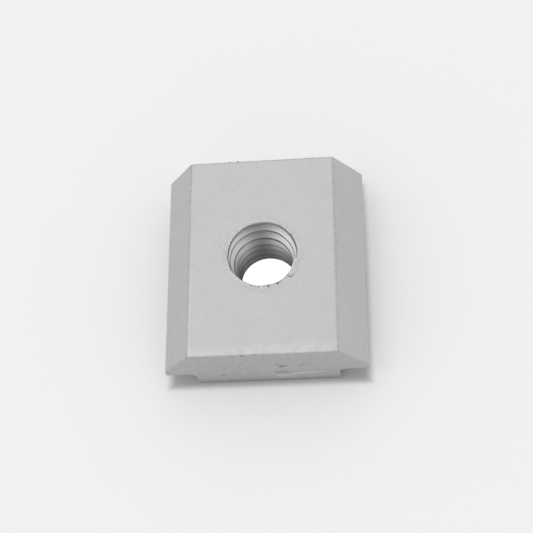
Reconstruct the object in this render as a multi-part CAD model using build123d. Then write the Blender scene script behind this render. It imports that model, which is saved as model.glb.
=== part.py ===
from build123d import *
import os

# Slot nut: one piece of drawn bar, sawn to length, drilled and tapped through the middle.
# It slides along a T-shaped channel, with the tongue between the channel's lips and the
# wings behind them. All sizes are millimetres.
#
# X runs across the wings, Y along the channel and Z up to the flat. The origin is the
# middle of the tongue's face, which is also the face that the nut stands on.

# Section of the bar
nut_width = 24.0  # over the two wings
flat_width = 17.2  # between the two chamfers
chamfer_drop = 4.9  # height of each chamfer, steeper than 45 degrees
side_land = 1.0  # upright strip below each chamfer
tongue_width = 17.0
tongue_height = 3.1  # from the underside of the wings to the tongue's face
root_radius = 0.8  # inside corner where wing and tongue meet
corner_radius = 0.35  # outside corners, as drawn
# Cut to length
nut_length = 25.0
end_radius = 0.25  # edges of the sawn ends, softened by tumbling
# Tapped hole, 5/16 inch by 18 threads an inch, right hand
minor_diameter = 6.65  # over the crests of the thread
mouth_diameter = 8.3  # where the worn lead-in meets the flat
mouth_depth = 3.6  # height over which the lead-in narrows to the crests
exit_diameter = 7.5  # light countersink in the tongue's face
exit_depth = 0.4


def nut_height():
    """Overall height, the sum of what is stacked in the section."""
    return tongue_height + side_land + chamfer_drop


def bar_section():
    """Section of the bar in XZ: chamfered head, upright lands, rebated wings and tongue."""
    tongue_x = tongue_width / 2
    wing_x = nut_width / 2
    flat_x = flat_width / 2
    land_top = tongue_height + side_land
    right_half = [
        (0, 0),
        (tongue_x, 0),
        (tongue_x, tongue_height),
        (wing_x, tongue_height),
        (wing_x, land_top),
        (flat_x, nut_height()),
        (0, nut_height()),
    ]
    half = make_face(Polyline(*right_half, close=True))
    roots = half.vertices().filter_by(lambda v: is_at(v, tongue_x, tongue_height))
    half = fillet(roots, root_radius)
    outside = [(tongue_x, 0), (wing_x, tongue_height), (wing_x, land_top), (flat_x, nut_height())]
    corners = half.vertices().filter_by(lambda v: any(is_at(v, x, z) for x, z in outside))
    half = fillet(corners, corner_radius)
    return Plane.XZ * (half + mirror(half, about=Plane.YZ))


def is_at(vertex, x, y):
    """True when a vertex of the section lies at this corner."""
    return abs(vertex.X - x) < 1e-6 and abs(vertex.Y - y) < 1e-6


def sawn_bar():
    """The bar cut to length, with the edges of both ends rounded."""
    bar = extrude(bar_section(), amount=nut_length / 2, both=True)
    ends = bar.faces().filter_by(Axis.Y)
    return fillet(ends.edges(), end_radius)


def tapped_hole():
    """What the drill and countersinks take out, turned about Z: exit, crests and lead-in."""
    crest = minor_diameter / 2
    profile = Polyline(
        (0, 0),
        (exit_diameter / 2, 0),
        (crest, exit_depth),
        (crest, nut_height() - mouth_depth),
        (mouth_diameter / 2, nut_height()),
        (0, nut_height()),
        close=True,
    )
    return revolve(Plane.XZ * make_face(profile), Axis.Z)


slot_nut = sawn_bar() - tapped_hole()
slot_nut.label = "slot_nut"

os.makedirs("parts", exist_ok=True)
export_step(slot_nut, "parts/slot_nut.step")
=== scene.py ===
import bmesh
import bpy
import math
import random
from mathutils import Matrix, Vector, noise


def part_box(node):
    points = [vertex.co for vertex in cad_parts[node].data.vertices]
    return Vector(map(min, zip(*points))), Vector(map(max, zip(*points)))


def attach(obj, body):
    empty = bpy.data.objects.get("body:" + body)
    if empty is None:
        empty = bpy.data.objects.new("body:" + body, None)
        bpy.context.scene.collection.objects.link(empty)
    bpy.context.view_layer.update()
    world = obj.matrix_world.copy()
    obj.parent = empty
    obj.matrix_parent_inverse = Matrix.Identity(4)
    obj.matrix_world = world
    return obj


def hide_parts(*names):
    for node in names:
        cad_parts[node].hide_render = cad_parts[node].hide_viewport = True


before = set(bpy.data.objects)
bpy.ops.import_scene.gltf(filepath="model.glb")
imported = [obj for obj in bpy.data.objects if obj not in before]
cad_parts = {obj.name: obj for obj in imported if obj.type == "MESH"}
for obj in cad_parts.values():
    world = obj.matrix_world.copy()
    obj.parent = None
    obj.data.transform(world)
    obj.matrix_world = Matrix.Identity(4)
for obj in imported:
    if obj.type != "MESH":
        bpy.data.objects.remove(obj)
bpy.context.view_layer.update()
MM = 0.001

# ---------------------------------------------------------------------------------------------
# The blank: a length of drawn bar with a chamfered head, two wings and a tongue, sawn off
# square and tumbled, so that its long corners are round and its sawn edges are softened.
# The nut stands on its tongue, with the flat up.

low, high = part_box("slot_nut")
half_width = high.x
half_length = high.y
height = high.z
flat_x = 8.6 * MM
tongue_x = 8.5 * MM
tongue_height = 3.1 * MM
land_top = 4.1 * MM
corner_radius = 0.35 * MM
root_radius = 0.8 * MM
end_radius = 0.25 * MM


def new_piece(name, shape):
    """A bmesh made into an object at the origin, in the scene's collection."""
    mesh = bpy.data.meshes.new(name)
    shape.to_mesh(mesh)
    shape.free()
    piece = bpy.data.objects.new(name, mesh)
    bpy.context.scene.collection.objects.link(piece)
    return piece


def round_edges(shape, edges, radius, segments):
    """Rounds sharp edges by the bevel that a tumbled or drawn corner has."""
    bmesh.ops.bevel(
        shape, geom=edges, offset=radius, offset_type="OFFSET", affect="EDGES",
        segments=segments, profile=0.5, material=-1, clamp_overlap=True,
    )


def drawn_bar():
    """The section's outline, extruded along Y, with drawn corners and roots and soft ends."""
    shape = bmesh.new()
    right_side = [
        (tongue_x, 0), (tongue_x, tongue_height), (half_width, tongue_height),
        (half_width, land_top), (flat_x, height),
    ]
    outline = right_side + [(-x, z) for x, z in reversed(right_side)]
    corners = [shape.verts.new((x, -half_length, z)) for x, z in outline]
    section = shape.faces.new(corners)
    swept = bmesh.ops.extrude_face_region(shape, geom=[section])["geom"]
    moved = [v for v in swept if isinstance(v, bmesh.types.BMVert)]
    bmesh.ops.translate(shape, verts=moved, vec=(0, 2 * half_length, 0))
    bmesh.ops.recalc_face_normals(shape, faces=shape.faces)

    long_edges = [e for e in shape.edges if abs(e.verts[0].co.y - e.verts[1].co.y) > half_length]
    roots = [e for e in long_edges if is_root(e.verts[0].co)]
    round_edges(shape, roots, root_radius, 8)
    long_edges = [e for e in shape.edges if is_drawn_corner(e)]
    round_edges(shape, long_edges, corner_radius, 5)
    ends = [e for e in shape.edges if is_sawn_edge(e)]
    round_edges(shape, ends, end_radius, 4)
    return shape


def is_root(place):
    return abs(abs(place.x) - tongue_x) < MM / 100 and abs(place.z - tongue_height) < MM / 100


def is_drawn_corner(edge):
    """True for a long edge where two flat sides of the section meet at a sharp outside corner."""
    runs_along = abs(edge.verts[0].co.y - edge.verts[1].co.y) > half_length
    return runs_along and edge.calc_face_angle_signed(0) > math.radians(30)


def is_sawn_edge(edge):
    """True for the edges round the two sawn ends."""
    return all(abs(abs(v.co.y) - half_length) < MM / 100 for v in edge.verts)


nut = new_piece("slot_nut_detail", drawn_bar())

# ---------------------------------------------------------------------------------------------
# The tapped hole: drilled through, opened at the mouth by a worn taper, countersunk lightly at
# the tongue, and tapped 18 threads an inch, right hand. The tap ran out with a wobble, so that
# the thread opens with the taper. The shapes of the drill, the taper and the tap are solids
# that are taken out of the blank.

crest_radius = 3.325 * MM
root_of_thread = 3.97 * MM
pitch = 25.4 / 18 * MM
thread_start = 0.55 * MM
exit_radius = 3.75 * MM
exit_depth = 0.4 * MM
mouth_radius = 4.15 * MM
mouth_break = 0.08 * MM
taper_depth = 3.4 * MM
taper = 0.245
taper_centre = (0.06 * MM, 0.08 * MM, 0)
rim_land = 0.35 * MM
crest_wear = 0.12 * MM
crest_land = 0.1 * MM
worn_top = 0.22 * MM
root_top = 0.45 * MM
clear = 1.0 * MM
turn_steps = 120


def turned(profile):
    """A solid turned about the Z axis from a profile of (radius, height) points."""
    shape = bmesh.new()
    points = [shape.verts.new((r, 0, z)) for r, z in profile]
    edges = [shape.edges.new(pair) for pair in zip(points, points[1:])]
    bmesh.ops.spin(
        shape, geom=points + edges, cent=(0, 0, 0), axis=(0, 0, 1), angle=math.tau,
        steps=turn_steps, use_merge=True,
    )
    bmesh.ops.remove_doubles(shape, verts=shape.verts, dist=MM / 1000)
    bmesh.ops.recalc_face_normals(shape, faces=shape.faces)
    return shape


def drill():
    """The drill through the nut, and the light countersink in the tongue."""
    exit_slope = (exit_radius - crest_radius) / exit_depth
    return turned([
        (0, -clear),
        (exit_radius + clear * exit_slope, -clear),
        (crest_radius, exit_depth),
        (crest_radius, height + clear),
        (0, height + clear),
    ])


def mouth():
    """The worn taper with its broken rim, a little ragged all round."""
    shape = turned([
        (0, height - taper_depth - clear),
        (crest_radius - taper * clear, height - taper_depth - clear),
        (mouth_radius - mouth_break, height - mouth_break),
        (mouth_radius + clear, height + clear),
        (0, height + clear),
    ])
    for vert in shape.verts:
        away = Vector((vert.co.x, vert.co.y, 0))
        if abs(vert.co.z - height + mouth_break) < MM / 10:
            ragged = noise.noise(vert.co / (1.1 * MM)) * 0.07 + noise.noise(vert.co / (0.35 * MM)) * 0.04
            vert.co += away.normalized() * ragged * MM
    bmesh.ops.translate(shape, verts=shape.verts, vec=taper_centre)
    return shape


def tap():
    """The tap: a turn of the thread's profile, spun up by one pitch, trimmed and capped.
    The crest it leaves is narrow and worn, and it stops just short of the rim."""
    shape = bmesh.new()
    inner = crest_radius - 0.01 * MM
    worn = inner + crest_wear
    upper_flank = (root_of_thread - worn) * math.tan(math.radians(30))
    one_pitch = [
        (inner, 0), (inner, crest_land), (worn, worn_top),
        (root_of_thread, worn_top + upper_flank), (root_of_thread, root_top + upper_flank),
    ]
    turns = math.ceil((height + 4 * clear) / pitch)
    lowest = thread_start - 2 * clear - pitch
    profile = [(r, lowest + turn * pitch + z) for turn in range(turns + 1) for r, z in one_pitch]
    points = [shape.verts.new((r, 0, z)) for r, z in profile]
    edges = [shape.edges.new(pair) for pair in zip(points, points[1:])]
    bmesh.ops.spin(
        shape, geom=points + edges, cent=(0, 0, 0), axis=(0, 0, 1), angle=math.tau,
        dvec=(0, 0, pitch / turn_steps), steps=turn_steps, use_merge=False,
    )
    bmesh.ops.remove_doubles(shape, verts=shape.verts, dist=MM / 500)
    for vert in shape.verts:
        above = vert.co.z - (height - taper_depth)
        if above > 0:
            grow = 1 + taper * above / math.hypot(vert.co.x, vert.co.y)
            vert.co.x *= grow
            vert.co.y *= grow
    for level, up in ((-clear, -1), (height - rim_land, 1)):
        everything = shape.verts[:] + shape.edges[:] + shape.faces[:]
        bmesh.ops.bisect_plane(
            shape, geom=everything, dist=MM / 10000, plane_co=(0, 0, level), plane_no=(0, 0, up),
            clear_outer=True,
        )
        rim = [e for e in shape.edges if e.is_boundary
               and all(abs(v.co.z - level) < MM / 100 for v in e.verts)]
        bmesh.ops.holes_fill(shape, edges=rim)
    bmesh.ops.recalc_face_normals(shape, faces=shape.faces)
    return shape


def combine(piece, shape, operation):
    """Takes a solid out of a piece, or joins it on, and drops the solid."""
    other = new_piece("tool", shape)
    step = piece.modifiers.new("step", "BOOLEAN")
    step.operation = operation
    step.solver = "EXACT"
    step.use_self = True
    step.object = other
    depsgraph = bpy.context.evaluated_depsgraph_get()
    piece.data = bpy.data.meshes.new_from_object(piece.evaluated_get(depsgraph))
    piece.modifiers.clear()
    bpy.data.objects.remove(other)


combine(nut, drill(), "DIFFERENCE")
combine(nut, mouth(), "DIFFERENCE")
combine(nut, tap(), "DIFFERENCE")

# ---------------------------------------------------------------------------------------------
# The burr at the mouth: the tap pushed a sliver of the rim into the hole and tore the flat
# beside it. The sliver is joined on just under the flat, and the tear is a narrow groove.

tear_outer = Vector((4.45, -2.2, 0)) * MM
tear_rim = Vector((2.8, -2.75, 0)) * MM
tear_kink = Vector((3.3, -3.05, 0)) * MM


def slab(outline, top, thickness):
    """A flat solid under a level, from the outline of its top."""
    shape = bmesh.new()
    face = shape.faces.new([shape.verts.new((x, y, top)) for x, y in outline])
    lower = bmesh.ops.extrude_face_region(shape, geom=[face])["geom"]
    moved = [v for v in lower if isinstance(v, bmesh.types.BMVert)]
    bmesh.ops.translate(shape, verts=moved, vec=(0, 0, -thickness))
    bmesh.ops.recalc_face_normals(shape, faces=shape.faces)
    return shape


def sliver():
    """The sliver that hangs over the mouth, thin and bent down at its inner edge."""
    outline = [(4.7, -2.2), (4.75, -0.9), (4.25, -0.4), (3.85, -0.75), (3.62, -1.3), (3.42, -1.9),
               (3.12, -2.45), (3.0, -2.8), (3.35, -3.0)]
    shape = slab([(x * MM, y * MM) for x, y in outline], height - 0.02 * MM, 0.3 * MM)
    for vert in shape.verts:
        reach = 4.1 * MM - math.hypot(vert.co.x, vert.co.y)
        if reach > 0:
            vert.co.z -= 0.35 * reach
    bmesh.ops.subdivide_edges(shape, edges=shape.edges, cuts=2, use_grid_fill=True)
    for vert in shape.verts:
        vert.co.z -= 0.03 * MM * abs(noise.noise(vert.co / (0.25 * MM)))
    return shape


def tear():
    """A narrow groove from the rim out across the flat, widest at its kink."""
    side = Vector((-0.04, 0.07, 0)) * MM
    line = [tear_rim - 0.8 * side, tear_kink - 1.3 * side, tear_outer, tear_kink + 0.5 * side,
            tear_rim + 1.2 * side]
    return slab([(p.x, p.y) for p in line], height + 0.2 * MM, 0.55 * MM)


combine(nut, sliver(), "UNION")
combine(nut, tear(), "DIFFERENCE")

# ---------------------------------------------------------------------------------------------
# Marks of use and of the shear: pits torn in the sawn ends, and small nicks along the edges of
# the flat. Each is a rough pebble taken out of the surface.

random.seed(5)
small_pits_an_end = 34
nicks_a_side = 18
torn_pits = [
    (2.15, 5.0, 0.32), (1.8, 4.8, 0.24), (1.4, 5.5, 0.2), (4.4, 5.4, 0.28), (4.05, 5.05, 0.18),
    (-2.9, 4.1, 0.2), (-5.2, 2.6, 0.24), (-5.1, 5.4, 0.17), (-2.4, 8.85, 0.24), (-6.5, 8.8, 0.18),
    (-3.0, 5.6, 0.15), (-0.4, 2.2, 0.14), (-7.6, 6.4, 0.15), (6.9, 6.9, 0.15), (0.3, 8.9, 0.15),
]


def pebble(shape, place, size, stretch):
    """A small rough ball at a place, longer along one axis than the others."""
    ball = bmesh.ops.create_icosphere(shape, subdivisions=2, radius=size)["verts"]
    for vert in ball:
        vert.co *= 1 + 0.35 * noise.noise(vert.co / size + place / size)
    bmesh.ops.scale(shape, verts=ball, vec=stretch)
    bmesh.ops.translate(shape, verts=ball, vec=place)


def end_pits():
    """Pits in both sawn ends: the torn ones at the front listed one by one, the small ones scattered."""
    shape = bmesh.new()
    for x, z, size in torn_pits:
        pebble(shape, Vector((x * MM, -half_length, z * MM)), size * MM, (1.3, 0.7, 0.7))
    for side in (-1, 1):
        for _ in range(small_pits_an_end):
            place = Vector((
                random.uniform(-tongue_x, tongue_x) * 0.95, side * half_length,
                random.uniform(0.05, 0.97) * height,
            ))
            pebble(shape, place, random.uniform(0.06, 0.13) * MM, (1.3, 0.8, 0.9))
    return shape


def edge_nicks():
    """Nicks along the two edges between flat and chamfer, and along the flat's sawn edges."""
    shape = bmesh.new()
    for side in (-1, 1):
        for _ in range(nicks_a_side):
            along = random.uniform(-0.95, 0.95) * half_length
            size = random.uniform(0.05, 0.1) * MM
            pebble(shape, Vector((side * (flat_x + 0.02 * MM), along, height)), size, (0.8, 1.8, 0.8))
            across = random.uniform(-0.95, 0.95) * flat_x
            size = random.uniform(0.04, 0.09) * MM
            pebble(shape, Vector((across, side * half_length, height)), size, (1.8, 1, 1))
    return shape


def rim_nicks():
    """The torn lip at the front of the mouth, and a few nicks round the rest of it."""
    shape = bmesh.new()
    for count, first, last in ((12, -108, -62), (10, -60, 240)):
        for _ in range(count):
            angle = math.radians(random.uniform(first, last))
            away = Vector((math.cos(angle), math.sin(angle), 0))
            place = away * (mouth_radius + random.uniform(-0.03, 0.07) * MM)
            place.z = height
            pebble(shape, place, random.uniform(0.06, 0.13) * MM, (1.3, 1.1, 0.9))
    return shape


combine(nut, rim_nicks(), "DIFFERENCE")
combine(nut, end_pits(), "DIFFERENCE")
combine(nut, edge_nicks(), "DIFFERENCE")


def shade(piece, flat_area):
    """Smooth shading on the small faces of rounded edges and thread, flat on the large ones."""
    for face in piece.data.polygons:
        face.use_smooth = face.area < flat_area
    piece.data.set_sharp_from_angle(angle=math.radians(38))


shade(nut, 8 * MM * MM)
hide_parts("slot_nut")
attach(nut, "root")

# ---------------------------------------------------------------------------------------------
# The finish: satin metal with a mottled grain and faint draw lines along the bar. The sawn ends are
# rougher and greyer, partly from their own torn grain and partly as painted shade; the sides beyond the
# flat carry a painted shade;
# the edges hold a thin dark line; the hole's walls are painted lighter and the thread's crests carry a
# painted highlight.


class Socket:
    """A shader output that Python arithmetic turns into Math nodes."""

    def __init__(self, tree, link=None):
        self.tree = tree
        self.link = link

    def node(self, kind, inputs=None, output=0, **settings):
        """Any node: its settings first, then the values or links of its inputs."""
        made = self.tree.nodes.new(kind)
        for name, value in settings.items():
            setattr(made, name, value)
        for name, value in (inputs or {}).items():
            if isinstance(value, Socket):
                self.tree.links.new(value.link, made.inputs[name])
            else:
                made.inputs[name].default_value = value
        return Socket(self.tree, made.outputs[output])

    def maths(self, operation, *values):
        return self.node("ShaderNodeMath", dict(enumerate(values)), operation=operation)

    def step(self, low, high):
        """0 below low and 1 above high, or the other way round, with a soft change between."""
        reach = {"Value": self, "From Min": min(low, high), "From Max": max(low, high),
                 "To Min": float(low > high), "To Max": float(low < high)}
        return self.node("ShaderNodeMapRange", reach, interpolation_type="SMOOTHSTEP")

    def noise(self, size, detail=2.0, stretch=(1, 1, 1), turn=0.0):
        """Noise whose grains are about this size, longer along an axis where stretch says."""
        placed = self.node("ShaderNodeMapping", {
            "Vector": self, "Rotation": (0, 0, turn), "Scale": [1 / s for s in stretch]})
        return self.node(
            "ShaderNodeTexNoise", {"Vector": placed, "Scale": 1 / size, "Detail": detail})

    def __abs__(self):
        return self.maths("ABSOLUTE", self)

    def __add__(self, other):
        return self.maths("ADD", self, other)

    def __radd__(self, other):
        return self.maths("ADD", other, self)

    def __sub__(self, other):
        return self.maths("SUBTRACT", self, other)

    def __rsub__(self, other):
        return self.maths("SUBTRACT", other, self)

    def __mul__(self, other):
        return self.maths("MULTIPLY", self, other)

    def __rmul__(self, other):
        return self.maths("MULTIPLY", other, self)

    def __pow__(self, other):
        return self.maths("POWER", self, other)


def satin_metal():
    material = bpy.data.materials.new("satin_metal")
    material.use_nodes = True
    tree = material.node_tree
    shader = tree.nodes["Principled BSDF"]
    shader.inputs["Metallic"].default_value = 1.0

    place = Socket(tree).node("ShaderNodeTexCoord", output="Object")
    x = place.node("ShaderNodeSeparateXYZ", {"Vector": place}, output="X")
    y = place.node("ShaderNodeSeparateXYZ", {"Vector": place}, output="Y")
    z = place.node("ShaderNodeSeparateXYZ", {"Vector": place}, output="Z")
    radius = (x * x + y * y) ** 0.5

    sawn = abs(y).step(half_length - 0.2 * MM, half_length - 0.05 * MM)
    in_hole = radius.step(4.2 * MM, 4.0 * MM)
    # Painted highlight: the mask of the thread's crest faces, which are painted lighter below.
    painted_crest_highlight = radius.step(crest_radius + 0.12 * MM, crest_radius + 0.03 * MM)
    on_flat = z.step(height - 0.1 * MM, height - 0.02 * MM)

    grain = place.noise(0.28 * MM, 4.0)
    mottle = place.noise(1.1 * MM, 3.0)
    cloud = place.noise(5.0 * MM, 2.0)
    drawn = place.noise(0.22 * MM, 3.0, stretch=(1, 40, 1))
    torn = place.noise(0.5 * MM, 5.0, stretch=(1.6, 1, 1))

    # The chamfers, wings and sides beyond the flat, which are painted darker below as a painted shade.
    side = abs(x).step(flat_x - 0.1 * MM, flat_x + 0.2 * MM)
    off_edge = abs(abs(x) - flat_x)
    edge_wear = place.noise(0.5 * MM, 4.0).step(0.3, 0.7)
    edge_line = off_edge.step(0.22 * MM, 0.06 * MM) * z.step(height - 0.45 * MM, height - 0.2 * MM)
    sawn_line = abs(y).step(half_length - 0.22 * MM, half_length - 0.1 * MM) * (1 - sawn)
    dark_line = edge_line * (0.35 + 0.65 * edge_wear) + 0.6 * sawn_line * edge_wear

    scuffs = place.noise(2.4 * MM, 2.0)
    fine_lines = place.noise(0.6 * MM, 1.0, stretch=(1, 9, 3), turn=math.radians(-14))
    cross_lines = place.noise(0.5 * MM, 1.0, stretch=(1, 8, 3), turn=math.radians(38))
    scratch = (
        abs(fine_lines - 0.5).step(0.012, 0.003) * scuffs.step(0.56, 0.66)
        + abs(cross_lines - 0.5).step(0.01, 0.003) * scuffs.step(0.44, 0.34)
    ) * (1 - sawn) * (1 - in_hole)

    front_strip = y.step(-half_length + 1.6 * MM, -half_length + 0.5 * MM) * on_flat
    rim_ring = radius.step(4.8 * MM, 4.2 * MM) * on_flat
    smear = place.noise(0.45 * MM, 3.0)
    rim_mark = abs(smear - 0.5).step(0.035, 0.01) * radius.step(5.1 * MM, 4.3 * MM) * on_flat

    level = 0.52 + 0.05 * grain + 0.05 * mottle + 0.04 * cloud + 0.012 * drawn
    level = level + 0.045 * front_strip * mottle.step(0.3, 0.7) + 0.04 * rim_ring
    # Painted shade: the sides are painted 10% darker. The sawn ends are darker partly from their own
    # torn, greyer grain and partly as painted shade.
    level = level * (1 - 0.10 * side * (1 - sawn) - 0.02 * sawn - 0.26 * sawn * torn)
    level = level * (1 - 0.26 * dark_line) * (1 - 0.12 * scratch) * (1 - 0.22 * rim_mark)
    # Painted light: the hole's walls are painted 10% lighter, and the crests lighter still as a painted
    # highlight.
    level = level * (1 + 0.10 * in_hole) + 0.10 * painted_crest_highlight * in_hole
    colour = place.node("ShaderNodeCombineColor", {"Red": level, "Green": level, "Blue": level})
    tree.links.new(colour.link, shader.inputs["Base Color"])

    rough = 0.40 + 0.10 * grain + 0.12 * sawn - 0.04 * in_hole - 0.08 * front_strip
    tree.links.new(rough.link, shader.inputs["Roughness"])

    relief = 0.35 * grain + 0.5 * mottle + 0.08 * drawn * (1 - sawn) + 2.4 * sawn * torn
    relief = relief - 0.5 * scratch - 1.2 * rim_mark
    bump = place.node("ShaderNodeBump", {"Strength": 0.35, "Distance": 0.06 * MM, "Height": relief})
    tree.links.new(bump.link, shader.inputs["Normal"])
    return material


nut.data.materials.clear()
nut.data.materials.append(satin_metal())

# ---------------------------------------------------------------------------------------------
# The stage: a pale sheet, a white surround, one key lamp from the left and the camera.

white = 1.0
sheet_lift = 0.24
hole_spot = 4.3 * MM


def ray_kinds(tree):
    """Two sockets: 1 for rays from the camera, and 1 for mirror and glass rays."""
    rays = tree.nodes.new("ShaderNodeLightPath")
    mirrored = Socket(tree, rays.outputs["Is Glossy Ray"])
    through = Socket(tree, rays.outputs["Is Transmission Ray"])
    return Socket(tree, rays.outputs["Is Camera Ray"]), mirrored + through


def pale_sheet():
    """The floor's material: pale paint, lifted to white where it is seen, with its shadows.
    Under the nut it is darkened by a painted shadow and isn't lifted, apart from a spot seen through the
    hole, which is painted to glow white to the camera."""
    material = bpy.data.materials.new("pale_sheet")
    material.use_nodes = True
    tree = material.node_tree
    shader = tree.nodes["Principled BSDF"]
    shader.inputs["Roughness"].default_value = 1.0
    shader.inputs["Specular IOR Level"].default_value = 0.0
    shader.inputs["Emission Color"].default_value = (white, white, white, 1)
    place = Socket(tree).node("ShaderNodeTexCoord", output="Object")
    x = place.node("ShaderNodeSeparateXYZ", {"Vector": place}, output="X")
    y = place.node("ShaderNodeSeparateXYZ", {"Vector": place}, output="Y")
    # Painted shadow: inside the nut's footprint the floor's own colour is darkened and its lift dropped,
    # fading out just past its sides and ends.
    clear_x = abs(x).step(half_width - 0.8 * MM, half_width + 0.8 * MM)
    clear_y = abs(y).step(half_length, half_length + 1.2 * MM)
    outside_painted_shadow = clear_x.maths("MAXIMUM", clear_x, clear_y)
    # Painted light: a disc under the hole glows white to camera rays only, cancelling the floor's shadow
    # there.
    painted_glow_spot = ((x * x + y * y) ** 0.5).step(hole_spot, hole_spot - 0.2 * MM)
    camera_ray, other_rays = ray_kinds(tree)
    lift = sheet_lift * outside_painted_shadow * (camera_ray + other_rays) + white * painted_glow_spot * camera_ray
    tree.links.new(lift.link, shader.inputs["Emission Strength"])
    # Painted shadow: the pale colour drops to 0.68 of itself under the nut.
    pale_with_painted_shadow = 0.85 * (0.68 + 0.32 * outside_painted_shadow)
    colour = place.node("ShaderNodeCombineColor", {"Red": pale_with_painted_shadow, "Green": pale_with_painted_shadow, "Blue": pale_with_painted_shadow})
    tree.links.new(colour.link, shader.inputs["Base Color"])
    return material


floor_mesh = bmesh.new()
bmesh.ops.create_grid(floor_mesh, x_segments=1, y_segments=1, size=3.0)
floor = new_piece("floor", floor_mesh)
floor.data.materials.append(pale_sheet())


def surround():
    """White all round where it is seen, softer as a light, and dim where the viewer stands."""
    world = bpy.data.worlds.new("surround")
    world.use_nodes = True
    tree = world.node_tree
    backdrop = tree.nodes["Background"]
    backdrop.inputs["Color"].default_value = (white, white, white, 1)
    direction = Socket(tree).node("ShaderNodeTexCoord", output="Generated")
    viewer = Vector((0.12, -0.55, 0.82)).normalized()
    facing = direction.node(
        "ShaderNodeVectorMath", {0: direction, 1: viewer}, output="Value", operation="DOT_PRODUCT")
    dim = 1 - 0.85 * facing.step(0.86, 0.96)
    camera_ray, other_rays = ray_kinds(tree)
    strength = camera_ray + (1 - camera_ray) * dim * (0.82 + 0.18 * other_rays)
    tree.links.new(strength.link, backdrop.inputs["Strength"])
    return world


bpy.context.scene.world = surround()


def lamp(name, azimuth, elevation, distance, size, power):
    """A square lamp that faces the nut from a direction given in degrees."""
    light = bpy.data.lights.new(name, "AREA")
    light.size = size
    light.energy = power
    holder = bpy.data.objects.new(name, light)
    bpy.context.scene.collection.objects.link(holder)
    turn = Matrix.Rotation(math.radians(azimuth), 4, "Z")
    tilt = Matrix.Rotation(math.radians(90 - elevation), 4, "X")
    holder.matrix_world = turn @ tilt @ Matrix.Translation((0, 0, distance))


lamp("key", -80, 52, 0.6, 0.4, 0.2)

camera_turn = math.radians(12.89)
camera_rise = math.radians(65.07)
camera_roll = math.radians(-14.4)
camera_place = Vector((-0.377, 2.215, 150.422)) * MM
camera = bpy.data.cameras.new("camera")
camera.sensor_width = 36.0
camera.lens = 82.14
camera.clip_start = 0.001
view = bpy.data.objects.new("camera", camera)
bpy.context.scene.collection.objects.link(view)
view.matrix_world = (
    Matrix.Rotation(camera_turn, 4, "Z")
    @ Matrix.Rotation(math.pi / 2 - camera_rise, 4, "X")
    @ Matrix.Rotation(camera_roll, 4, "Z")
    @ Matrix.Translation(camera_place)
)
bpy.context.scene.camera = view
bpy.context.scene.view_settings.view_transform = "Standard"
